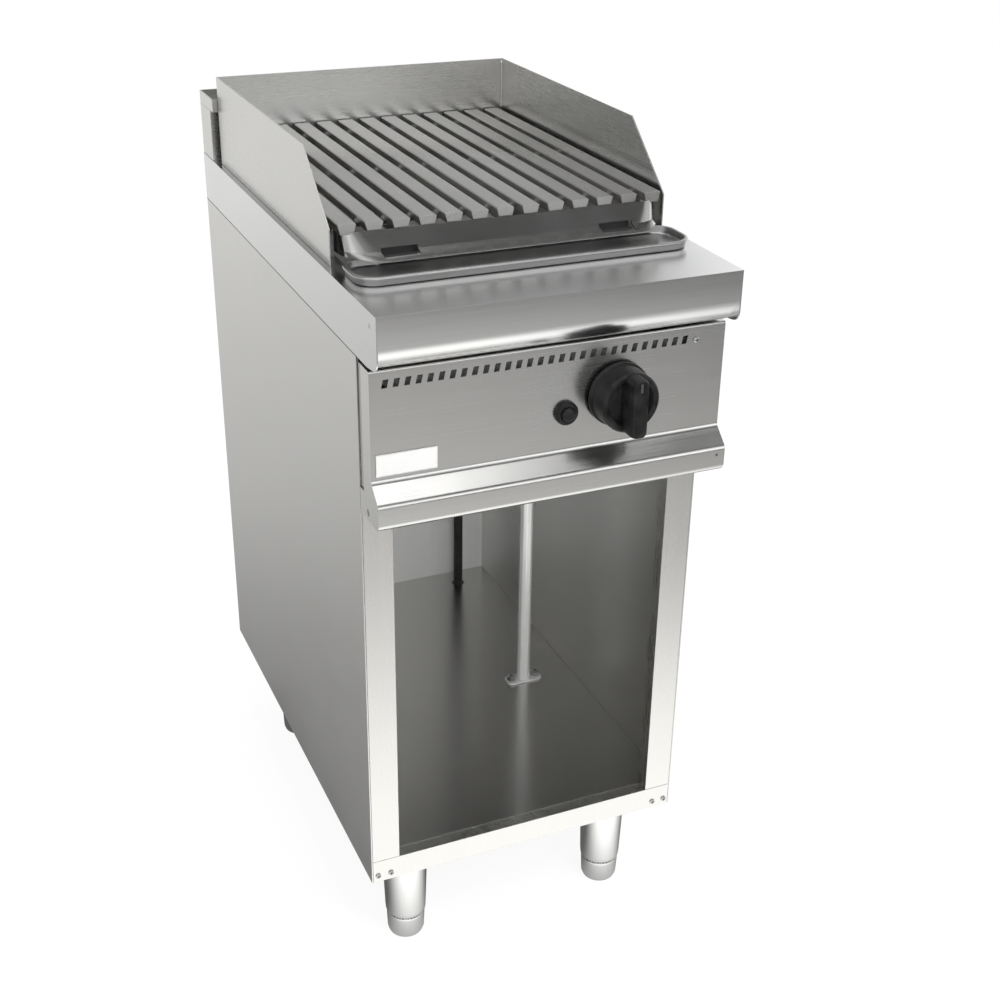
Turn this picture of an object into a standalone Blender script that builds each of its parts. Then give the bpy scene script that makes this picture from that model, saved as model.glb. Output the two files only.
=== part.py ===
"""Gas chargrill on an open cabinet, 400 mm wide, as separately named parts.

Lengths are written in millimetres and become metres in mm(). The front faces -Y. Depths are counted back
from the worktop's front lip, and centre_over_origin() then moves the finished build so that the origin is
on the floor under its middle.
"""

import math

import bmesh
import bpy
from mathutils import Matrix, Vector

# Overall body
HALF_WIDTH = 200
DEPTH = 680
WORKTOP_Z = 870
SHEET = 1.5
GAP = 0.3

# Cabinet
BODY_BOTTOM = 141
BODY_TOP = 810
FRAME_FRONT = 64
PILLAR_WIDTH = 35
PILLAR_RETURN = 20
FLOOR_TOP = 171
FRONT_RAIL_DEPTH = 95
REAR_RAIL_DEPTH = 115
BACK_FRONT = 676.5
SIDE_END = 679

# Worktop
LIP_FACE_BOTTOM = 841
WELL_HALF_X = 176
WELL_FRONT = 156
WELL_REAR = 598
FLUE_HOLE_X = 148
FLUE_HOLE_Y = (632, 674)

# Flue: a passage through the well's rear wall, a duct behind it, a column and a capped outlet
PASSAGE_X = 138
PASSAGE_Z = (772, 848)
DUCT_BOTTOM = 742
COLUMN_X = 199.5
COLUMN_FRONT, COLUMN_REAR = 628, 679.5
CAP_BASE = 934
CAP_FRONT = 613.5
CAP_TOP = 950
GRILLE_PITCH = 15

# Legs
LEG_X = 137
LEG_FRONT_Y = 125
LEG_REAR_Y = 596
LEG_SPLIT_Z = 36

# Control panel: an upright face over a rounded bumper, given as corners of (y, z, radius)
FACE_Y = 26
PANEL_TOP_Z = 806
PANEL_BOTTOM = 639
PANEL_REAR = 62
BUMPER = ((FACE_Y, 686, 8), (6, 668, 8), (6, PANEL_BOTTOM, 8))
CHEEK_REAR = 50
CHEEK_STEP_Z = 667
CHEEK_SCREW_Y, CHEEK_SCREW_Z = 38, 648
VENT_COUNT = 29
VENT_PITCH = 11.95
VENT_FIRST_X = -183.4
VENT_Z = 791.4
KNOB_X, KNOB_Z = 73, 744
IGNITER_X, IGNITER_Z = 14, 730
LABEL_X, LABEL_Z = -162, 704.5

# Splash guard
GUARD_HALF_X = 193
GUARD_FRONT = 161
GUARD_REAR = 611
GUARD_TOP = 978
GUARD_STEP_Z = 909
GUARD_SLOPE_END = 243

# Grate
BAR_COUNT = 13
BAR_PITCH = 29.2
BAR_TOP_HALF = 9.9
BAR_FOOT_HALF = 7.2
BAR_TOP = 914.5
BAR_HEIGHT = 11
BAR_WALL = 2.2
BAR_FRONT = 156
BAR_REAR = 606
ROD_RADIUS = 4
ROD_Z = 901
ROD_YS = (200, 390, 580)
ROD_HALF_X = 183

# Apron and tray in front of the grate. An apron edge is (z, front, half width, corner radius), top down
APRON_EDGES = ((905.5, 154, 182, 20), (885.5, 142, 182, 30), (881, 125, 182, 45))
APRON_REAR = 180
APRON_SHEET = 1.2
SLOT_X = 124
SLOT_HALF_X = 20
SLOT_Z = (882.9, 889.6)
TRAY_X = 190
TRAY_FRONT = 81
TRAY_REAR = 150
TRAY_RIM_Z = 880
TRAY_CORNER = 24

# Well, burner and pipes
WELL_FLOOR = 705
LEDGE_Z = 792
BURNER_X = 75
BURNER_Z = 757
BURNER_RADIUS = 15
DRAIN_X, DRAIN_Y = 125.8, 354.5
RISER_X, RISER_Y = 142.6, 641
INLET_RADIUS = 11

ROUND = 24
FORWARD = (math.pi / 2, 0, 0)


def mm(x, y, z):
    return Vector((x, y, z)) / 1000


def clear_scene():
    for obj in list(bpy.data.objects):
        bpy.data.objects.remove(obj, do_unlink=True)


def new_collection(name, hidden=False):
    collection = bpy.data.collections.new(name)
    bpy.context.scene.collection.children.link(collection)
    collection.hide_render = hidden
    return collection


clear_scene()
PARTS = new_collection("chargrill")
CUTTERS = new_collection("cutters", hidden=True)


def finish_material(name, color, metallic, roughness):
    material = bpy.data.materials.new(name)
    material.use_nodes = True
    shader = material.node_tree.nodes["Principled BSDF"]
    shader.inputs["Base Color"].default_value = (*color, 1)
    shader.inputs["Metallic"].default_value = metallic
    shader.inputs["Roughness"].default_value = roughness
    return material


FINISHES = {
    "steel": ((0.62, 0.62, 0.61), 1.0, 0.3),
    "bright": ((0.78, 0.78, 0.77), 1.0, 0.12),
    "dark_steel": ((0.3, 0.3, 0.3), 1.0, 0.4),
    "iron": ((0.12, 0.12, 0.12), 0.8, 0.6),
    "brass": ((0.72, 0.55, 0.25), 1.0, 0.3),
    "black": ((0.02, 0.02, 0.02), 0.0, 0.35),
    "white": ((0.85, 0.85, 0.84), 0.0, 0.4),
    "ceramic": ((0.85, 0.83, 0.78), 0.0, 0.5),
}


def add_part(name, data, finish, origin=(0, 0, 0)):
    """A visible part with its own material, at origin in millimetres."""
    obj = bpy.data.objects.new(name, data)
    obj.location = mm(*origin)
    PARTS.objects.link(obj)
    data.materials.append(finish_material(name, *FINISHES[finish]))
    return obj


def add_cutter(name, data, origin=(0, 0, 0)):
    obj = bpy.data.objects.new(name, data)
    obj.location = mm(*origin)
    obj.hide_render = True
    obj.display_type = "WIRE"
    CUTTERS.objects.link(obj)
    return obj


def finished(name, shaped):
    """The mesh of a bmesh, with its faces turned outwards."""
    bmesh.ops.recalc_face_normals(shaped, faces=shaped.faces)
    mesh = bpy.data.meshes.new(name)
    shaped.to_mesh(mesh)
    shaped.free()
    return mesh


def joined(name, meshes):
    """Several closed meshes, which may not touch, as one mesh."""
    shaped = bmesh.new()
    for mesh in meshes:
        shaped.from_mesh(mesh)
    mesh = bpy.data.meshes.new(name)
    shaped.to_mesh(mesh)
    shaped.free()
    return mesh


def block(name, x, y, z):
    """A box mesh between two limits on each axis."""
    low, high = (mm(x[i], y[i], z[i]) for i in (0, 1))
    shaped = bmesh.new()
    bmesh.ops.create_cube(shaped, size=1, matrix=Matrix.LocRotScale((low + high) / 2, None, high - low))
    return finished(name, shaped)


def prism(name, outline, axis, limits):
    """A closed 2D outline pushed along an axis. Along X it's (y, z), along Y (x, z), along Z (x, y)."""
    def point(a, b, along):
        return mm(*{"X": (along, a, b), "Y": (a, along, b), "Z": (a, b, along)}[axis])

    start, end = limits
    shaped = bmesh.new()
    face = shaped.faces.new([shaped.verts.new(point(a, b, start)) for a, b in outline])
    pushed = bmesh.ops.extrude_face_region(shaped, geom=[face])["geom"]
    moved = [item for item in pushed if isinstance(item, bmesh.types.BMVert)]
    bmesh.ops.translate(shaped, verts=moved, vec=point(0, 0, end - start))
    return finished(name, shaped)


def arc_corner(before, corner, after, radius, segments):
    """Points that round one corner of a path."""
    corner = Vector(corner)
    arm_in = (Vector(before) - corner).normalized()
    arm_out = (Vector(after) - corner).normalized()
    half = arm_in.angle(arm_out) / 2
    reach = radius / math.tan(half)
    centre = corner + (arm_in + arm_out).normalized() * radius / math.sin(half)
    start = corner + arm_in * reach - centre
    turn = start.angle_signed(corner + arm_out * reach - centre)
    steps = [turn * i / segments for i in range(segments + 1)]
    return [tuple(centre + Matrix.Rotation(-step, 2) @ start) for step in steps]


def rounded(corners, closed, segments=4):
    """A path with its corners rounded. Each corner is (a, b) or (a, b, radius)."""
    path = []
    last = len(corners) - 1
    for i, corner in enumerate(corners):
        radius = corner[2] if len(corner) > 2 else 0
        if not radius or (not closed and i in (0, last)):
            path.append(tuple(corner[:2]))
            continue
        before = corners[i - 1][:2]
        after = corners[(i + 1) % len(corners)][:2]
        path += arc_corner(before, corner[:2], after, radius, segments)
    return path


def rounded_box(half_x, front, rear, radius, segments=4):
    corners = [(-half_x, front), (half_x, front), (half_x, rear), (-half_x, rear)]
    return rounded([(*corner, radius) for corner in corners], True, segments)


def thickened(path, thickness):
    """A closed outline around a sheet whose outer side follows the path; it grows to the path's left."""
    points = [Vector(p) for p in path]
    inner = []
    for i, point in enumerate(points):
        ways = []
        if i:
            ways.append((point - points[i - 1]).normalized())
        if i < len(points) - 1:
            ways.append((points[i + 1] - point).normalized())
        normals = [Vector((-way.y, way.x)) for way in ways]
        middle = sum(normals, Vector((0, 0))).normalized()
        inner.append(point + middle * thickness / middle.dot(normals[0]))
    return [tuple(p) for p in points] + [tuple(p) for p in reversed(inner)]


def lofted(name, rings, ring_shaped=False):
    """Rings of equally many 3D points joined in turn, capped at both ends or closed on themselves."""
    count = len(rings[0])
    points = [point for ring in rings for point in ring]
    faces = []
    for k in range(len(rings) if ring_shaped else len(rings) - 1):
        low = k * count
        high = (k + 1) % len(rings) * count
        faces += [(low + i, low + (i + 1) % count, high + (i + 1) % count, high + i) for i in range(count)]
    if not ring_shaped:
        faces += [tuple(range(count)), tuple(range(len(points) - count, len(points)))]
    return skinned(name, points, faces)


def skinned(name, points, faces):
    """A mesh from points in millimetres, for skins between unlike sections."""
    mesh = bpy.data.meshes.new(name)
    mesh.from_pydata([mm(*p) for p in points], [], faces)
    shaped = bmesh.new()
    shaped.from_mesh(mesh)
    return finished(name, shaped)


def at_height(outline, z):
    return [(x, y, z) for x, y in outline]


def apply_boolean(obj, other, operation):
    modifier = obj.modifiers.new(other.name, "BOOLEAN")
    modifier.operation = operation
    modifier.solver = "EXACT"
    modifier.object = other


def cut(obj, mesh):
    apply_boolean(obj, add_cutter(mesh.name, mesh), "DIFFERENCE")


def fuse(obj, mesh):
    apply_boolean(obj, add_cutter(mesh.name, mesh), "UNION")


def turned(name, profile, finish, origin, rotation=(0, 0, 0), steps=ROUND):
    """A solid turned about its own Z from a profile of (radius, height), top to bottom."""
    mesh = bpy.data.meshes.new(name)
    points = [mm(radius, 0, height) for radius, height in profile]
    mesh.from_pydata(points, [(i, i + 1) for i in range(len(points) - 1)], [])
    obj = add_part(name, mesh, finish, origin)
    obj.rotation_euler = rotation
    screw = obj.modifiers.new("Turn", "SCREW")
    screw.axis = "Z"
    screw.steps = steps
    screw.render_steps = steps
    screw.use_merge_vertices = True
    screw.merge_threshold = 0.00001
    return obj


def pipe(name, points, radius, finish, bend=0):
    """A round pipe with filled ends through points; inner corners are bent to a radius."""
    path = [Vector(points[0])]
    for before, corner, after in zip(points, points[1:], points[2:]):
        path += bent_corner(Vector(before), Vector(corner), Vector(after), bend)
    path.append(Vector(points[-1]))
    curve = bpy.data.curves.new(name, "CURVE")
    curve.dimensions = "3D"
    curve.bevel_depth = radius / 1000
    curve.bevel_resolution = 3
    curve.use_fill_caps = True
    spline = curve.splines.new("POLY")
    spline.points.add(len(path) - 1)
    for spot, point in zip(spline.points, path):
        spot.co = (*(point / 1000), 1)
    return add_part(name, curve, finish)


def bent_corner(before, corner, after, radius, segments=5):
    arm_in = (before - corner).normalized()
    arm_out = (after - corner).normalized()
    half = arm_in.angle(arm_out) / 2
    reach = radius / math.tan(half)
    centre = corner + (arm_in + arm_out).normalized() * radius / math.sin(half)
    start = corner + arm_in * reach - centre
    end = corner + arm_out * reach - centre
    axis = start.cross(end).normalized()
    turn = start.angle(end)
    return [centre + Matrix.Rotation(turn * i / segments, 3, axis) @ start for i in range(segments + 1)]


def face_point(x, z, outwards):
    """A point at a distance in front of the control panel's face."""
    return (x, FACE_Y - outwards, z)


def circle(a, b, radius, sides=16):
    turns = [2 * math.pi * i / sides for i in range(sides)]
    return [(a + radius * math.cos(t), b + radius * math.sin(t)) for t in turns]


def drilled(name, x, y, radius, limits):
    """A round cutter along Z."""
    return prism(name, circle(x, y, radius), "Z", limits)


def bored(name, x, z, radius, limits):
    """A round cutter along Y."""
    return prism(name, circle(x, z, radius), "Y", limits)


def make_cabinet():
    side = (FRAME_FRONT, SIDE_END)
    height = (BODY_BOTTOM, BODY_TOP - GAP)
    inner = HALF_WIDTH - SHEET
    add_part("side_panel_left", block("side_panel_left", (-HALF_WIDTH, -inner), side, height), "steel")
    add_part("side_panel_right", block("side_panel_right", (inner, HALF_WIDTH), side, height), "steel")
    back_x = inner - GAP
    back = block("back_panel", (-back_x, back_x), (BACK_FRONT, BACK_FRONT + SHEET), height)
    add_part("back_panel", back, "steel")
    make_pillars(inner - GAP, height[1] - SHEET)
    make_base(inner - GAP)
    rail_top = height[1] - 10
    path = [(FRAME_FRONT + 30, rail_top - 24), (FRAME_FRONT + 2, rail_top - 24),
            (FRAME_FRONT + 2, rail_top), (FRAME_FRONT + 30, rail_top)]
    rail_x = HALF_WIDTH - PILLAR_WIDTH - GAP
    rail = prism("top_cross_rail", thickened(path, -SHEET), "X", (-rail_x, rail_x))
    add_part("top_cross_rail", rail, "steel")


def make_pillars(outer, top):
    """Two folded uprights with a broad face and a return into the cabinet."""
    inner = HALF_WIDTH - PILLAR_WIDTH
    path = [(outer, FRAME_FRONT), (inner, FRAME_FRONT), (inner, FRAME_FRONT + PILLAR_RETURN),
            (inner + 12, FRAME_FRONT + PILLAR_RETURN)]
    for name, side in (("pillar_left", -1), ("pillar_right", 1)):
        outline = [(side * x, y) for x, y in thickened(path, -SHEET)]
        limits = (FLOOR_TOP + GAP, top)
        add_part(name, prism(name, outline, "Z", limits), "bright")


def make_base(outer):
    """Floor sheet, the channel under its front edge and the one under its rear edge."""
    front_path = [(FRAME_FRONT + FRONT_RAIL_DEPTH, BODY_BOTTOM), (FRAME_FRONT, BODY_BOTTOM),
                  (FRAME_FRONT, FLOOR_TOP), (FRAME_FRONT + 16, FLOOR_TOP)]
    front = prism("bottom_rail", thickened(front_path, -SHEET), "X", (-outer, outer))
    add_part("bottom_rail", front, "bright")
    rear = BACK_FRONT - GAP
    rear_path = [(rear - REAR_RAIL_DEPTH, BODY_BOTTOM), (rear, BODY_BOTTOM), (rear, FLOOR_TOP - 8)]
    rear_rail = prism("rear_base_rail", thickened(rear_path, SHEET), "X", (-outer, outer))
    rear_base = add_part("rear_base_rail", rear_rail, "steel")
    around_inlet = (BODY_BOTTOM - 10, BODY_BOTTOM + 10)
    cut(rear_base, drilled("rail_inlet_hole", RISER_X, RISER_Y, INLET_RADIUS + 1, around_inlet))
    start = FRAME_FRONT + 16 + GAP
    floor_path = [(start, FLOOR_TOP - 14), (start, FLOOR_TOP), (rear, FLOOR_TOP)]
    floor = add_part("cabinet_floor", prism("cabinet_floor", thickened(floor_path, -SHEET), "X",
                                            (-outer, outer)), "steel")
    cut(floor, drilled("floor_pipe_hole", RISER_X, RISER_Y, 9.5, (FLOOR_TOP - 10, FLOOR_TOP + 10)))
    cut(floor, drilled("floor_drain_hole", DRAIN_X, DRAIN_Y, 9.5, (FLOOR_TOP - 10, FLOOR_TOP + 10)))


def make_legs():
    """Tapered sleeves fixed under the base, each with a screw-in foot."""
    top = BODY_BOTTOM - GAP
    spots = {"fl": (-LEG_X, LEG_FRONT_Y), "fr": (LEG_X, LEG_FRONT_Y),
             "rl": (-LEG_X, LEG_REAR_Y), "rr": (LEG_X, LEG_REAR_Y)}
    sleeve = [(0, top), (33, top), (33, top - 5), (28.5, top - 9), (25.5, LEG_SPLIT_Z + 6),
              (25, LEG_SPLIT_Z), (12, LEG_SPLIT_Z), (12, LEG_SPLIT_Z + 40), (0, LEG_SPLIT_Z + 40)]
    stem = LEG_SPLIT_Z + 39.5
    foot = [(0, stem), (11.7, stem), (11.7, LEG_SPLIT_Z - 4), (23.5, LEG_SPLIT_Z - 4),
            (24, LEG_SPLIT_Z - 7), (23, 7), (21, 2), (17, 0), (0, 0)]
    for spot, (x, y) in spots.items():
        turned("leg_" + spot, sleeve, "bright", (x, y, 0))
        turned("foot_" + spot, foot, "bright", (x, y, 0))


def make_worktop():
    """One pressed sheet: flat top, rounded front lip, side and rear edges, and two openings."""
    top = (WORKTOP_Z - SHEET, WORKTOP_Z)
    sheet = block("worktop", (-HALF_WIDTH, HALF_WIDTH), (0, DEPTH), top)
    worktop = add_part("worktop", sheet, "steel")
    for side in (-1, 1):
        edges = sorted((side * HALF_WIDTH, side * (HALF_WIDTH - SHEET)))
        outline = rounded([(0, WORKTOP_Z - 1), (DEPTH, WORKTOP_Z - 1), (DEPTH, BODY_TOP),
                           (30, BODY_TOP), (0, BODY_TOP + 4, 12)], True)
        fuse(worktop, prism(f"worktop_side_{side}", outline, "X", edges))
    nose = [(0, WORKTOP_Z - 1), (0, LIP_FACE_BOTTOM - 4), (3, 829), (9, 819), (17, 813), (26, 811), (36, 811)]
    inner = HALF_WIDTH - SHEET / 2
    fuse(worktop, prism("worktop_nose", thickened(nose, SHEET), "X", (-inner, inner)))
    rear = block("worktop_rear", (-inner, inner), (DEPTH - SHEET, DEPTH), (BODY_TOP, WORKTOP_Z - 1))
    fuse(worktop, rear)
    through = (WORKTOP_Z - 20, WORKTOP_Z + 20)
    well = rounded_box(WELL_HALF_X, WELL_FRONT, WELL_REAR, 12)
    cut(worktop, prism("worktop_well_hole", well, "Z", through))
    flue = block("worktop_flue_hole", (-FLUE_HOLE_X, FLUE_HOLE_X), FLUE_HOLE_Y, through)
    cut(worktop, flue)


def make_flue():
    """Duct behind the well, column above the worktop, and the capped outlet with its grille."""
    duct_x = FLUE_HOLE_X + 4
    duct_top = WORKTOP_Z - SHEET - GAP
    front = WELL_REAR + 3 + GAP
    rear = BACK_FRONT - GAP
    rings = []
    for inset, z in ((0, DUCT_BOTTOM), (0, duct_top), (SHEET, duct_top), (SHEET, DUCT_BOTTOM + SHEET)):
        rings.append(ring_box(duct_x - inset, front + inset, rear - inset, z))
    duct = add_part("flue_duct", lofted("flue_duct", rings), "dark_steel")
    cut(duct, block("duct_inlet", (-PASSAGE_X, PASSAGE_X), (front - 5, front + 5), PASSAGE_Z))

    base = WORKTOP_Z + GAP
    column = [ring_box(COLUMN_X - inset, COLUMN_FRONT + inset, COLUMN_REAR - inset, z)
              for inset, z in ((0, base), (0, CAP_BASE), (SHEET, CAP_BASE), (SHEET, base))]
    add_part("flue_column", lofted("flue_column", column, True), "steel")
    make_flue_cap()


def make_flue_cap():
    low = CAP_BASE + GAP
    ledge = low + SHEET
    inner = (COLUMN_X - SHEET, CAP_FRONT + SHEET, COLUMN_REAR - SHEET)
    mouth = (190, COLUMN_FRONT + 4, 671)
    outer = (COLUMN_X, CAP_FRONT, COLUMN_REAR)
    cap = [ring_box(*outer, low), ring_box(*outer, CAP_TOP), ring_box(*inner, CAP_TOP),
           ring_box(*inner, ledge), ring_box(*mouth, ledge), ring_box(*mouth, low)]
    add_part("flue_cap", lofted("flue_cap", cap, True), "steel")
    half_x, front, rear = inner[0] - 0.5, inner[1] + 0.5, inner[2] - 0.5
    grille_z = (ledge + GAP, ledge + GAP + 2)
    sheet = block("flue_grille", (-half_x, half_x), (front, rear), grille_z)
    grille = add_part("flue_grille", sheet, "steel")
    through = (grille_z[0] - 5, grille_z[1] + 5)
    slots = [block(f"grille_slot_{x}", (x - 3.5, x + 3.5), (front + 8.5, rear - 8.5), through)
             for x in range(-10 * GRILLE_PITCH, 11 * GRILLE_PITCH, GRILLE_PITCH)]
    cut(grille, joined("grille_slots", slots))


def ring_box(half_x, front, rear, z):
    return [(-half_x, front, z), (half_x, front, z), (half_x, rear, z), (-half_x, rear, z)]


def make_splash_guard():
    """Three upright sheets round the grate, with the side sheets cut away towards the front."""
    base = WORKTOP_Z + GAP
    side_outline = [(GUARD_FRONT, base), (GUARD_REAR, base), (GUARD_REAR, GUARD_TOP),
                    (GUARD_SLOPE_END, GUARD_TOP), (GUARD_FRONT, GUARD_STEP_Z)]
    inner = GUARD_HALF_X - SHEET
    left = prism("splash_guard", side_outline, "X", (-GUARD_HALF_X, -inner))
    guard = add_part("splash_guard", left, "steel")
    rear = block("guard_rear", (-GUARD_HALF_X + 0.5, GUARD_HALF_X - 0.5),
                 (GUARD_REAR - SHEET, GUARD_REAR), (base, GUARD_TOP))
    fuse(guard, rear)
    fuse(guard, prism("guard_right", side_outline, "X", (inner, GUARD_HALF_X)))


def bar_positions():
    return [(i - (BAR_COUNT - 1) / 2) * BAR_PITCH for i in range(BAR_COUNT)]


def bar_outline(x, foot, foot_half, top, top_half, ease=1):
    """One bar's section: a flat top with eased edges over sides that lean in."""
    return [(x - foot_half, foot), (x - top_half, top - ease), (x - top_half + ease, top),
            (x + top_half - ease, top), (x + top_half, top - ease), (x + foot_half, foot)]


def make_grate():
    """Channel bars with flat tops, closed at their front ends, on three cross rods."""
    foot = BAR_TOP - BAR_HEIGHT
    bars = []
    hollows = []
    for i, x in enumerate(bar_positions()):
        outer = bar_outline(x, foot, BAR_FOOT_HALF, BAR_TOP, BAR_TOP_HALF)
        bars.append(prism(f"bar_{i}", outer, "Y", (BAR_FRONT, BAR_REAR)))
        inner = bar_outline(x, foot - 1, BAR_FOOT_HALF - BAR_WALL,
                            BAR_TOP - BAR_WALL, BAR_TOP_HALF - BAR_WALL)
        hollows.append(prism(f"hollow_{i}", inner, "Y", (BAR_FRONT + BAR_WALL, BAR_REAR + 5)))
    grate = add_part("grate", joined("grate", bars), "iron")
    cut(grate, joined("bar_hollows", hollows))
    rods = [prism(f"rod_{y}", circle(y, ROD_Z, ROD_RADIUS, 10), "X", (-ROD_HALF_X, ROD_HALF_X))
            for y in ROD_YS]
    fuse(grate, joined("grate_rods", rods))
    rail_top = ROD_Z - ROD_RADIUS - GAP
    for name, side in (("grate_rail_left", -1), ("grate_rail_right", 1)):
        limits = sorted((side * 179, side * 186))
        rail = block(name, limits, (190, 596), (WORKTOP_Z + GAP, rail_top))
        add_part(name, rail, "dark_steel")


def apron_edge(z, front, half_x, radius):
    """The apron's plan at one height: an open path that wraps round both front corners."""
    corners = [(-half_x, APRON_REAR), (-half_x, front, radius), (half_x, front, radius), (half_x, APRON_REAR)]
    return at_height(rounded(corners, False, 6), z)


def make_apron():
    """Skirt in front of the bars that flares towards the tray, with two hand slots through its bend."""
    edges = [apron_edge(*edge) for edge in APRON_EDGES]
    count = len(edges[0])
    faces = [(low + i, low + i + 1, low + count + i + 1, low + count + i)
             for low in range(0, (len(edges) - 1) * count, count) for i in range(count - 1)]
    points = [point for edge in edges for point in edge]
    apron = add_part("grate_apron", skinned("grate_apron", points, faces), "steel")
    solidify = apron.modifiers.new("Sheet", "SOLIDIFY")
    solidify.thickness = APRON_SHEET / 1000
    solidify.offset = 0
    solidify.use_even_offset = True
    under_bars = BAR_TOP - BAR_HEIGHT - GAP
    cut(apron, block("bar_clearance", (-200, 200), (BAR_FRONT - GAP, APRON_REAR + 10), (under_bars, 910)))
    for name, side in (("slot_left", -1), ("slot_right", 1)):
        x = side * SLOT_X
        cut(apron, block(name, (x - SLOT_HALF_X, x + SLOT_HALF_X), (100, 152), SLOT_Z))


def make_tray():
    """Shallow tray with rounded corners and a turned-out rim."""
    rings = []
    floor = WORKTOP_Z + GAP
    for grow, z in ((-3.5, floor), (-2.5, floor + 1), (-2, TRAY_RIM_Z - 3), (0, TRAY_RIM_Z - 2.4),
                    (0, TRAY_RIM_Z - 0.8), (-1, TRAY_RIM_Z), (-4, TRAY_RIM_Z), (-4.6, floor + 2.5),
                    (-6, floor + 1.4)):
        outline = rounded_box(TRAY_X + grow, TRAY_FRONT - grow, TRAY_REAR + grow, TRAY_CORNER + grow, 6)
        rings.append(at_height(outline, z))
    add_part("grease_tray", lofted("grease_tray", rings), "bright")


def make_well():
    """Open-topped chamber under the grate, with holes for the flue, the venturi and the drain."""
    outer_x, front, rear = WELL_HALF_X + 3, WELL_FRONT - 3, WELL_REAR + 3
    top = WORKTOP_Z - SHEET - GAP
    rings = []
    for inset, z in ((0, WELL_FLOOR), (0, top), (SHEET, top), (SHEET, WELL_FLOOR + SHEET)):
        rings.append(at_height(rounded_box(outer_x - inset, front + inset, rear - inset, 9 - inset, 3), z))
    well = add_part("burner_well", lofted("burner_well", rings), "dark_steel")
    cut(well, block("well_flue_hole", (-PASSAGE_X, PASSAGE_X), (rear - 6, rear + 6), PASSAGE_Z))
    cut(well, bored("well_venturi_hole", BURNER_X, BURNER_Z, 14, (front - 6, front + 6)))
    cut(well, drilled("well_drain_hole", DRAIN_X, DRAIN_Y, 6, (WELL_FLOOR - 6, WELL_FLOOR + 6)))


def make_burner():
    """U-shaped tube burner on a bracket, its venturi, and the radiants over it on two ledges."""
    z = BURNER_Z
    pipe("burner", [(-BURNER_X, 190, z), (-BURNER_X, 550, z), (BURNER_X, 550, z), (BURNER_X, 190, z)],
         BURNER_RADIUS, "iron", bend=50)
    low = z - BURNER_RADIUS - GAP
    inner = WELL_HALF_X + 3 - SHEET - GAP
    bracket = block("burner_bracket", (-inner, inner), (300, 320), (low - 3, low))
    add_part("burner_bracket", bracket, "dark_steel")
    venturi = [(0, 70), (15, 70), (15, 66), (10, 44), (10, 20), (13, 0), (0, 0)]
    turned("venturi", venturi, "iron", (BURNER_X, 189.7, z), FORWARD)
    front = WELL_FRONT - 3 + SHEET + GAP
    rear = WELL_REAR + 3 - SHEET - GAP
    ledges = {"radiant_ledge_front": (front, front + 16), "radiant_ledge_rear": (rear - 16, rear)}
    for name, y in ledges.items():
        add_part(name, block(name, (-165, 165), y, (LEDGE_Z, LEDGE_Z + 3)), "dark_steel")
    for name, x in (("radiant_left", -BURNER_X), ("radiant_right", BURNER_X)):
        foot = LEDGE_Z + 3 + GAP
        path = [(x - 62, foot), (x - 50, foot), (x, foot + 41), (x + 50, foot), (x + 62, foot)]
        radiant = prism(name, thickened(path, 2), "Y", (front + 2, rear - 2))
        add_part(name, radiant, "iron")


def make_pilot():
    """Pilot hood on the front wall, with its thermocouple and spark electrode beside it."""
    wall = WELL_FRONT - 3 + SHEET + GAP
    hood_outline = [(wall, 734), (wall, 776), (wall + 3, 776), (wall + 3, 742), (wall + 34, 742),
                    (wall + 34, 734)]
    hood = prism("pilot_burner", hood_outline, "X", (20, 52))
    add_part("pilot_burner", hood, "brass")
    rod_base = 742 + GAP
    thermocouple = [(0, 34), (2.2, 33), (2.2, 14), (3.5, 14), (3.5, 0), (0, 0)]
    turned("thermocouple", thermocouple, "brass", (28, wall + 22, rod_base), steps=12)
    electrode = [(0, 30), (1.4, 30), (1.4, 18), (3.6, 17), (3.6, 0), (0, 0)]
    turned("spark_electrode", electrode, "ceramic", (44, wall + 22, rod_base), steps=12)


def make_control_panel():
    """Front sheet with a rounded bumper along its foot, cheeks at both ends and a row of vents."""
    front = [(FACE_Y, PANEL_TOP_Z, 2), *BUMPER, (PANEL_REAR, PANEL_BOTTOM)]
    path = rounded([(CHEEK_REAR, PANEL_TOP_Z), *front], False, 5)
    inner = HALF_WIDTH - SHEET / 2
    sheet = prism("control_panel", thickened(path, SHEET), "X", (-inner, inner))
    panel = add_part("control_panel", sheet, "steel")
    cheek_back = [(PANEL_REAR, CHEEK_STEP_Z), (CHEEK_REAR, CHEEK_STEP_Z), (CHEEK_REAR, PANEL_TOP_Z)]
    cheek = rounded([*front, *cheek_back], True, 5)
    for side in (-1, 1):
        limits = sorted((side * HALF_WIDTH, side * (HALF_WIDTH - SHEET)))
        fuse(panel, prism(f"panel_cheek_{side}", cheek, "X", limits))
    through = (FACE_Y - 10, FACE_Y + 10)
    vents = []
    for i in range(VENT_COUNT):
        x = VENT_FIRST_X + i * VENT_PITCH
        outline = [(x - 4, VENT_Z - 4.5), (x + 2, VENT_Z - 4.5), (x + 4, VENT_Z + 4.5), (x - 2, VENT_Z + 4.5)]
        vents.append(prism(f"vent_{i}", outline, "Y", through))
    cut(panel, joined("panel_vents", vents))
    cut(panel, bored("panel_knob_hole", KNOB_X, KNOB_Z, 8, through))
    cut(panel, bored("panel_igniter_hole", IGNITER_X, IGNITER_Z, 9.5, through))
    screw_hole = circle(CHEEK_SCREW_Y, CHEEK_SCREW_Z, 3.8, 12)
    cut(panel, prism("cheek_screw_holes", screw_hole, "X", (-HALF_WIDTH - 5, HALF_WIDTH + 5)))


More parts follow.
